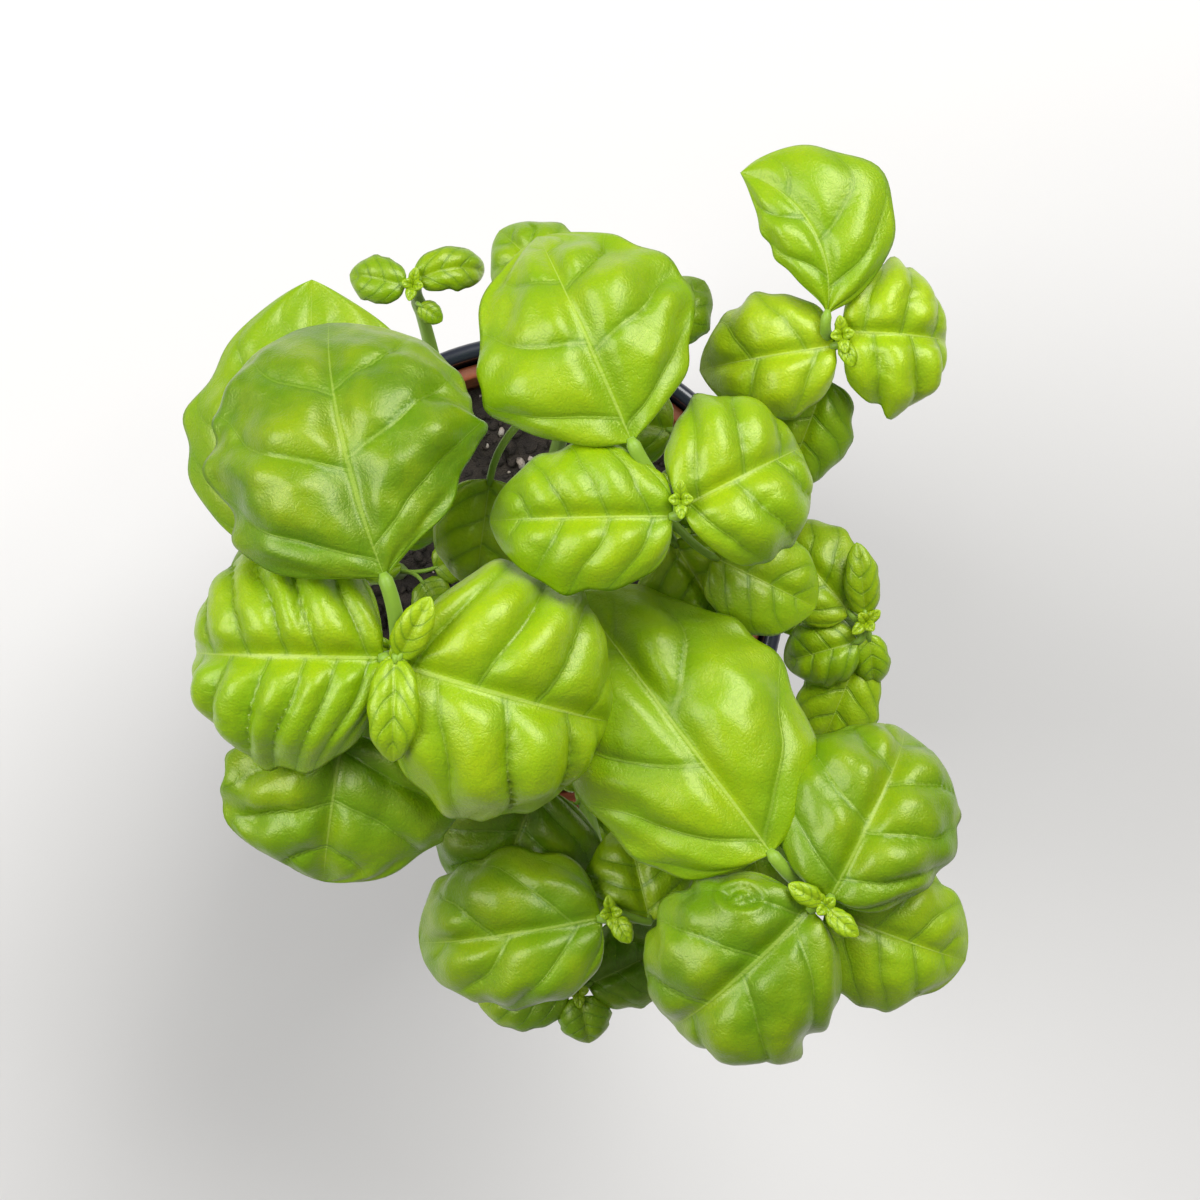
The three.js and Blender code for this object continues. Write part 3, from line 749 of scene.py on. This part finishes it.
def vein_group():
    """Midrib, side veins and the fine net between them, as masks and a height, and the creases and hollows
    by the side veins as masks for painted shade.
    """
    labels = ("Midrib", "Side veins", "Net", "Crease shade", "Hollow shade", "Height")
    tree, g, ins, outs = group(
        "LeafVeins", [("Net scale", NUMBER, 700.0), ("Side vein width", NUMBER, 0.028)],
        [(label, NUMBER) for label in labels])
    place = g.split(g.add("ShaderNodeUVMap", uv_map="BladePlace").outputs[0])
    across, down = g.math("ABSOLUTE", g.less(place[0], 0.5)), place[1]
    rib_width = g.plus(g.less(1.0, down), 0.0065, 0.0028)
    midrib = g.less(1.0, g.band(across, g.times(rib_width, 0.35), rib_width))

    phase, outward, _ = g.split(g.add("ShaderNodeUVMap", uv_map="VeinPhase").outputs[0])
    gap = g.less(0.5, g.math("ABSOLUTE", g.less(g.math("FRACT", phase), 0.5)))
    tipward = g.band(down, 0.72, 0.95, 1.0, 0.0)
    width = g.times(ins["Side vein width"], g.band(outward, 0.0, 1.0, 1.0, 0.35))
    side = g.less(1.0, g.band(gap, g.times(width, 0.3), width))
    side = g.times(side, g.band(outward, 0.93, 1.0, 1.0, 0.0))
    side = g.times(side, tipward)
    # The crease mask carves each side vein's crease as a bump. Through the crease output it also darkens the
    # crease in colour, as painted shade.
    crease = g.times(g.less(1.0, g.band(gap, 0.0, 0.09)), tipward)
    crease = g.times(crease, g.band(outward, 0.1, 0.9, 1.0, 0.3))
    # Painted shade: the hollow beside each side vein, darkened in colour only.
    hollow_shade = g.times(g.less(1.0, g.band(gap, 0.0, 0.34)), tipward)

    body = g.body()
    bent = g.add("ShaderNodeVectorMath", operation="MULTIPLY_ADD")
    g.join(g.noise(body, 260.0, 2.0, 0.5, "Color"), bent.inputs[0])
    bent.inputs[1].default_value = (0.0032, 0.0032, 0.0032)
    g.join(body, bent.inputs[2])
    net = g.less(1.0, g.band(g.cells(bent.outputs[0], ins["Net scale"]), 0.0, 0.2))
    branch = g.less(1.0, g.band(g.cells(bent.outputs[0], 210.0), 0.0, 0.05))

    height = g.times(net, -0.13)
    for mask, depth in ((branch, -0.09), (crease, -1.1), (side, 0.5), (midrib, 0.3),
                        (g.noise(body, 1900.0, 2.0), 0.72), (g.noise(body, 620.0), 0.48)):
        height = g.plus(mask, depth, height)
    fine = g.math("MAXIMUM", net, branch)
    for label, value in zip(labels, (midrib, side, fine, crease, hollow_shade, height)):
        g.join(value, outs[label])
    return tree


def speckle_group():
    """Uneven tone and fine grain shared by stems, pots and soil."""
    tree, g, ins, outs = group(
        "UnevenTone",
        [("Base", COLOUR, (0.5, 0.5, 0.5, 1)), ("Shade", COLOUR, (0.3, 0.3, 0.3, 1)),
         ("Scale", NUMBER, 60.0), ("Grain scale", NUMBER, 900.0), ("Contrast", NUMBER, 0.5)],
        [("Color", COLOUR), ("Mask", NUMBER), ("Grain", NUMBER)])
    body = g.body()
    mask = g.band(g.noise(body, ins["Scale"], 5.0, 0.5), 0.35, 0.68)
    grain = g.noise(body, ins["Grain scale"], 2.0, 0.5)
    share = g.times(g.plus(grain, 0.4, g.times(mask, 0.8)), ins["Contrast"])
    g.join(g.mix(share, ins["Base"], ins["Shade"]), outs["Color"])
    g.join(mask, outs["Mask"])
    g.join(grain, outs["Grain"])
    return tree


def new_material(name):
    material = bpy.data.materials.new(name)
    material.use_nodes = True
    return material, Graph(material.node_tree), material.node_tree.nodes["Principled BSDF"]


def set_values(node, **values):
    """Sets sockets by name, with _ in the place of a blank."""
    for key, value in values.items():
        node.inputs[key.replace("_", " ")].default_value = value


def place_group(graph, name, maker, **values):
    """Puts in the shared group of that name, made when it is first used."""
    tree = bpy.data.node_groups.get(name) or maker()
    node = graph.add("ShaderNodeGroup", node_tree=tree)
    for key, value in values.items():
        graph.feed(node.inputs[key.replace("_", " ")], value)
    return node.outputs


def bump(graph, height, strength, distance, shader):
    node = graph.add("ShaderNodeBump")
    set_values(node, Strength=strength, Distance=distance)
    graph.join(height, node.inputs["Height"])
    graph.join(node.outputs[0], shader.inputs["Normal"])


def translucent(shader, weight, blue, scale):
    """Lets light spread a little inside a thin green part."""
    set_values(shader, Subsurface_Weight=weight, Subsurface_Radius=(0.6, 1.0, blue), Subsurface_Scale=scale)


# Leaf colours over the base: young leaf, pale patch, painted shade in the hollows and creases by the side
# veins, net and mottle
YOUNG_GREEN = (0.33, 0.47, 0.006, 1)
PATCH_GREEN = (0.34, 0.44, 0.002, 1)
HOLLOW_SHADE_GREEN = (0.085, 0.215, 0.001, 1)
CREASE_SHADE_GREEN = (0.07, 0.17, 0.001, 1)
NET_GREEN = (0.12, 0.25, 0.002, 1)
MOTTLE_GREEN = (0.15, 0.27, 0.002, 1)


def leaf_material(settings):
    material, g, shader = new_material("basil_leaf_top")
    veins = place_group(g, "LeafVeins", vein_group)
    tone, body, vein = g.tone(), g.body(), color(settings.vein)
    base = g.mix(g.band(tone, 0.0, 0.62), color(settings.old), color(settings.fresh))
    base = g.mix(g.band(tone, 0.62, 1.0), base, YOUNG_GREEN)
    mottle = g.noise(body, 420.0, 4.0)
    base = g.tint(
        base,
        (g.band(g.noise(body, 55.0, 4.0), 0.36, 0.7), 0.45, PATCH_GREEN),
        # Painted shade: the hollows beside the side veins are darkened in colour.
        (veins["Hollow shade"], 0.34, HOLLOW_SHADE_GREEN),
        # Painted shade: the crease along each side vein is darkened in colour.
        (veins["Crease shade"], 0.40, CREASE_SHADE_GREEN),
        (veins["Net"], 0.13, NET_GREEN),
        (g.band(mottle, 0.4, 0.7), 0.16, MOTTLE_GREEN),
        (veins["Side veins"], 0.14, vein),
        (veins["Midrib"], g.band(tone, 0.1, 0.7, 0.28, 0.54), vein),
    )
    g.join(base, shader.inputs["Base Color"])
    g.join(g.plus(veins["Midrib"], 0.12, g.plus(mottle, 0.22, 0.27)), shader.inputs["Roughness"])
    set_values(shader, Specular_IOR_Level=0.50, Specular_Tint=(1.0, 1.0, 0.42, 1),
               Coat_Weight=0.28, Coat_Roughness=0.27)
    translucent(shader, 0.18, 0.08, 0.0012)
    bump(g, veins["Height"], 0.5, 0.00035, shader)
    return material


def underside_material(settings):
    material, g, shader = new_material("basil_leaf_underside")
    veins = place_group(g, "LeafVeins", vein_group, Side_vein_width=0.05)
    vein = color(settings.vein)
    base = g.tint(
        g.mix(g.tone(), (0.13, 0.26, 0.035, 1), color(settings.underside)),
        (veins["Net"], 0.2, (0.34, 0.50, 0.14, 1)),
        (veins["Side veins"], 0.5, vein),
        (veins["Midrib"], 0.8, vein),
    )
    g.join(base, shader.inputs["Base Color"])
    set_values(shader, Roughness=0.62)
    translucent(shader, 0.15, 0.08, 0.0012)
    bump(g, g.times(veins["Height"], -1.0), 0.6, 0.0004, shader)
    return material


def speckled(name, base, shade, scale, grain_scale, contrast, roughness, strength, distance):
    """A material with uneven tone and a grainy surface; base may be made from the graph."""
    material, g, shader = new_material(name)
    uneven = place_group(g, "UnevenTone", speckle_group, Base=base(g) if callable(base) else color(base),
                         Shade=color(shade), Scale=scale, Grain_scale=grain_scale, Contrast=contrast)
    g.join(uneven["Color"], shader.inputs["Base Color"])
    set_values(shader, Roughness=roughness)
    bump(g, uneven["Grain"], strength, distance, shader)
    return material, g, shader, uneven


def stem_material(settings):
    fresh = lambda g: g.mix(g.tone(), (0.17, 0.32, 0.02, 1), color(settings.stem))
    material, _, shader, _ = speckled(
        "basil_stem", fresh, (0.16, 0.29, 0.015), 90.0, 1500.0, 0.55, 0.5, 0.35, 0.0002)
    translucent(shader, 0.15, 0.2, 0.0015)
    set_values(shader, Sheen_Weight=0.15)
    return material


def enamel_material(settings):
    material, g, shader, uneven = speckled(
        "cover_pot_enamel", settings.enamel, (0.020, 0.024, 0.036), 45.0, 700.0, 0.6, 0.28, 0.12, 0.0002)
    g.join(g.plus(uneven["Mask"], 0.12, 0.28), shader.inputs["Roughness"])
    set_values(shader, Coat_Weight=0.35, Coat_Roughness=0.12)
    return material


def nursery_material(settings):
    """Plastic with soil dust that thickens down to the soil's edge."""
    material, g, shader, uneven = speckled(
        "nursery_pot_plastic", settings.plastic, (0.20, 0.055, 0.024), 60.0, 1100.0, 0.6, 0.46, 0.25, 0.0003)
    body = g.body()
    dust = g.times(g.band(g.split(body)[2], 0.112, 0.099), g.band(g.noise(body, 240.0, 5.0), 0.42, 0.66))
    g.join(g.tint(uneven["Color"], (dust, 0.75, (0.05, 0.032, 0.022, 1))), shader.inputs["Base Color"])
    g.join(g.plus(dust, 0.25, 0.46), shader.inputs["Roughness"])
    return material


# Pots and soil

def skin(rings):
    """Points and faces of a closed body over rings of points; a single point closes an end."""
    points, faces = [], []
    for low, high in zip(rings, [*rings[1:], []]):
        a, b = len(points), len(points) + len(low)
        points.extend(low)
        around = max(len(low), len(high))
        for k in range(around if len(high) else 0):
            n = (k + 1) % around
            if len(low) == 1:
                faces.append((a, b + n, b + k))
            elif len(high) == 1:
                faces.append((a + k, a + n, b))
            else:
                faces.append((b + k, a + k, a + n, b + n))
    return points, faces


def circle(radius, around, height):
    """A ring of points, or one point at radius 0; the height may hang on the place."""
    ring = []
    for a in np.linspace(0, 2 * np.pi, around if radius else 1, endpoint=False):
        x, y = radius * math.cos(a), radius * math.sin(a)
        ring.append((x, y, height(x, y) if callable(height) else height))
    return ring


def add_pot(name, profile, material, part):
    """A smooth turned pot from a closed profile of (radius, height) in millimetres."""
    piece = new_piece(name, *skin([circle(radius, 144, height) for radius, height in profile]), [material])
    piece.data.set_sharp_from_angle(angle=math.radians(48))
    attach(piece, "root")
    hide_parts(part)


def cover_profile(settings):
    rim, height, bead = settings.rim / MM, settings.height / MM, settings.bead / MM
    centre, level = rim - bead, height - bead
    profile = [(0, 0), (46.6, 0), (47.6, 0.15), (48.9, 0.8), (49.7, 1.8), (50, 3)]
    profile += [(50 + (centre - 0.3 - 50) * k / 6, 3 + (level - bead - 3.6) * k / 6) for k in range(1, 7)]
    for turn in np.radians(range(-60, 190, 12)):
        profile.append((centre + bead * math.cos(turn), level + bead * math.sin(turn)))
    profile += [(centre - bead, level - bead), (48.3, 5), (47.8, 4), (46.3, 3), (0, 3)]
    return profile


def nursery_profile():
    floor, lip, top = 3.3, 59.8, 113.0
    return [
        (0, floor), (37.6, floor), (39, floor + 0.4), (40, floor + 1.2), (40.4, floor + 3),
        (54.3, 95), (54.7, 95.6), (56.3, 97.6), (56.6, 98), (57.6, top - 2.6), (57.9, top - 2.4),
        (lip - 0.5, top - 2.4), (lip - 0.1, top - 2.2), (lip, top - 1.8), (lip, top - 0.7),
        (lip - 0.2, top - 0.2), (lip - 0.7, top), (57.1, top), (56.6, top - 0.2), (56.3, top - 0.8),
        (55.3, 98), (55, 97.4), (53.3, 95.3), (53, 95), (39, floor + 3.2), (37.5, floor + 1.9),
        (0, floor + 1.9),
    ]


def soil_height(x, y):
    """Lumpy top of the soil in millimetres."""
    place = Vector((x * 0.09, y * 0.09, 3.7))
    lump = 1.5 * noise.fractal(place, 0.8, 2.1, 5) + 0.5 * noise.noise(Vector((x * 0.9, y * 0.9, 1.2)))
    edge = max(0.0, math.hypot(x, y) - 46) / 8.5
    return SOIL_TOP + 0.4 + lump * (1 - 0.4 * edge) + 0.7 * edge


def add_soil(peat):
    """The bed fills the nursery pot: a plain body below and a lumpy top."""
    around, across = 200, 84  # points round a ring, and rings from the edge to the middle
    below = ((0, 5.5), (37.4, 5.5), (38.7, 6.8), (52.6, 95), (SOIL_RADIUS, 97.6))
    rings = [circle(radius, around, height) for radius, height in below]
    rings += [circle(SOIL_RADIUS * i / across, around, soil_height) for i in range(across, -1, -1)]
    piece = new_piece("soil_bed", *skin(rings), [peat])
    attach(piece, "root")
    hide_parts("soil")


STREWN_RADIUS = 53
ROOT_GAP, POT_GAP = 2.4, 54  # crumbs keep this far from a stem's middle, and inside this radius


def add_crumbs(name, count, smallest, largest, material, seed):
    """Loose grains strewn over the soil, each a dented ball with its own turn."""
    template = bmesh.new()
    bmesh.ops.create_icosphere(template, subdivisions=2, radius=1.0)
    ball = np.array([v.co[:] for v in template.verts])
    tris = np.array([[v.index for v in f.verts] for f in template.faces])
    template.free()
    local = np.random.default_rng(seed)
    roots = [plant["root"] for plant in PLANTS.values()]
    points, faces = [], []
    while len(points) < count:
        radius = STREWN_RADIUS * math.sqrt(local.uniform(0, 1))
        a = local.uniform(0, 2 * math.pi)
        x, y = radius * math.cos(a), radius * math.sin(a)
        size = smallest + (largest - smallest) * local.uniform(0, 1) ** 2.5
        if min(math.hypot(x - rx, y - ry) for rx, ry in roots) < ROOT_GAP + size or radius + size > POT_GAP:
            continue
        squash = local.uniform(0.6, 1.15, 3)
        offset = local.uniform(0, 50, 3)
        dents = np.array([1 + 0.55 * noise.noise(Vector(p * 1.5 + offset)) for p in ball])
        turn = Vector(local.normal(size=3)).normalized().rotation_difference(Vector((0, 0, 1))).to_matrix()
        grain = (ball * dents[:, None] * squash * size) @ np.array(turn)
        faces.append(tris + len(points) * len(ball))
        points.append(grain + np.array([x, y, soil_height(x, y) + size * local.uniform(-0.1, 0.45)]))
    piece = new_piece(name, np.concatenate(points), np.concatenate(faces).tolist(), [material])
    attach(piece, "root")


# Operators

class BASIL_OT_pots(bpy.types.Operator):
    """Make the dark cover pot and the nursery pot inside it"""
    bl_idname = "basil.pots"
    bl_label = "Cover pot and nursery pot"

    def execute(self, context):
        settings = context.scene.basil_pots
        add_pot("cover_pot_shell", cover_profile(settings), enamel_material(settings), "cover_pot")
        add_pot("nursery_pot_shell", nursery_profile(), nursery_material(settings), "nursery_pot")
        return {"FINISHED"}


class BASIL_OT_soil(bpy.types.Operator):
    """Make the soil with its crumbs and perlite grains"""
    bl_idname = "basil.soil"
    bl_label = "Soil, crumbs and perlite"

    def execute(self, context):
        settings = context.scene.basil_soil
        peat = speckled(
            "potting_soil", settings.peat, (0.035, 0.026, 0.018), 320.0, 2200.0, 0.8, 0.92, 0.9, 0.0008)[0]
        perlite = speckled(
            "perlite", settings.grain, (0.26, 0.20, 0.15), 500.0, 2600.0, 0.7, 0.85, 0.7, 0.0005)[0]
        add_soil(peat)
        add_crumbs("soil_crumbs", settings.clods, 0.5, 2.3, peat, 21)
        add_crumbs("soil_perlite", settings.perlite, 0.4, 1.6, perlite, 22)
        return {"FINISHED"}


class BASIL_OT_plants(bpy.types.Operator):
    """Grow every leafy stem of the bunch"""
    bl_idname = "basil.plants"
    bl_label = "Leafy stems"

    def execute(self, context):
        settings = context.scene.basil_plants
        materials = [leaf_material(settings), underside_material(settings), stem_material(settings)]
        for name, plant in PLANTS.items():
            build_plant(name, plant, settings, materials)
        return {"FINISHED"}


class BASIL_OT_stage(bpy.types.Operator):
    """Set the pale floor, the soft lights and the camera above the bunch"""
    bl_idname = "basil.stage"
    bl_label = "Floor, lights and camera"

    def execute(self, context):
        settings = context.scene.basil_stage
        scene = context.scene
        scene.view_settings.view_transform = "Standard"
        material, _, shader = new_material("pale_floor")
        set_values(shader, Base_Color=color(settings.floor), Roughness=0.8)
        corners = [(x * 9000, y * 9000, 0) for x, y in ((-1, -1), (1, -1), (1, 1), (-1, 1))]
        floor = new_piece("pale_floor", corners, [(0, 1, 2, 3)], [material])

        world = bpy.data.worlds.new("soft_studio")
        world.use_nodes = True
        set_values(world.node_tree.nodes["Background"], Color=(1.0, 1.0, 1.0, 1), Strength=settings.sky)
        scene.world = world

        target = Vector((0.0, 0.0, 0.22))
        for name, place, size, power in (
            ("key_window", Vector((0.44, 0.60, 1.12)), 0.75, settings.key),
            ("side_window", Vector((-0.70, 0.10, 0.95)), 0.7, settings.key * 0.6),
        ):
            lamp = bpy.data.lights.new(name, "AREA")
            lamp.shape = "SQUARE"
            lamp.size = size
            lamp.energy = power
            window = add_object(name, lamp)
            window.location = place
            window.rotation_euler = (target - place).to_track_quat("-Z", "Y").to_euler()

        camera = bpy.data.cameras.new("overhead")
        camera.sensor_width = 36.0
        camera.lens = settings.lens
        camera.clip_start = 0.01
        scene.camera = add_object("overhead", camera)
        scene.camera.location = settings.eye
        return {"FINISHED"}


class BASIL_PT_panel(bpy.types.Panel):
    """Lists the pieces of the potted basil"""
    bl_idname = "BASIL_PT_panel"
    bl_label = "Potted basil"
    bl_space_type = "VIEW_3D"
    bl_region_type = "UI"
    bl_category = "Basil"

    def draw(self, context):
        for label, operator, settings in (
            ("Pots", "basil.pots", context.scene.basil_pots),
            ("Soil", "basil.soil", context.scene.basil_soil),
            ("Leafy stems", "basil.plants", context.scene.basil_plants),
            ("Stage", "basil.stage", context.scene.basil_stage),
        ):
            box = self.layout.box()
            box.label(text=label)
            for key in settings.__annotations__:
                box.prop(settings, key)
            box.operator(operator)


CLASSES = (
    BasilSettings, PotSettings, SoilSettings, StageSettings,
    BASIL_OT_pots, BASIL_OT_soil, BASIL_OT_plants, BASIL_OT_stage, BASIL_PT_panel,
)


def register():
    for cls in CLASSES:
        bpy.utils.register_class(cls)
    bpy.types.Scene.basil_plants = PointerProperty(type=BasilSettings)
    bpy.types.Scene.basil_pots = PointerProperty(type=PotSettings)
    bpy.types.Scene.basil_soil = PointerProperty(type=SoilSettings)
    bpy.types.Scene.basil_stage = PointerProperty(type=StageSettings)


def unregister():
    for name in ("basil_plants", "basil_pots", "basil_soil", "basil_stage"):
        delattr(bpy.types.Scene, name)
    for cls in reversed(CLASSES):
        bpy.utils.unregister_class(cls)


def main():
    register()
    bpy.ops.basil.stage()
    bpy.ops.basil.pots()
    bpy.ops.basil.soil()
    bpy.ops.basil.plants()


if __name__ == "__main__":
    main()
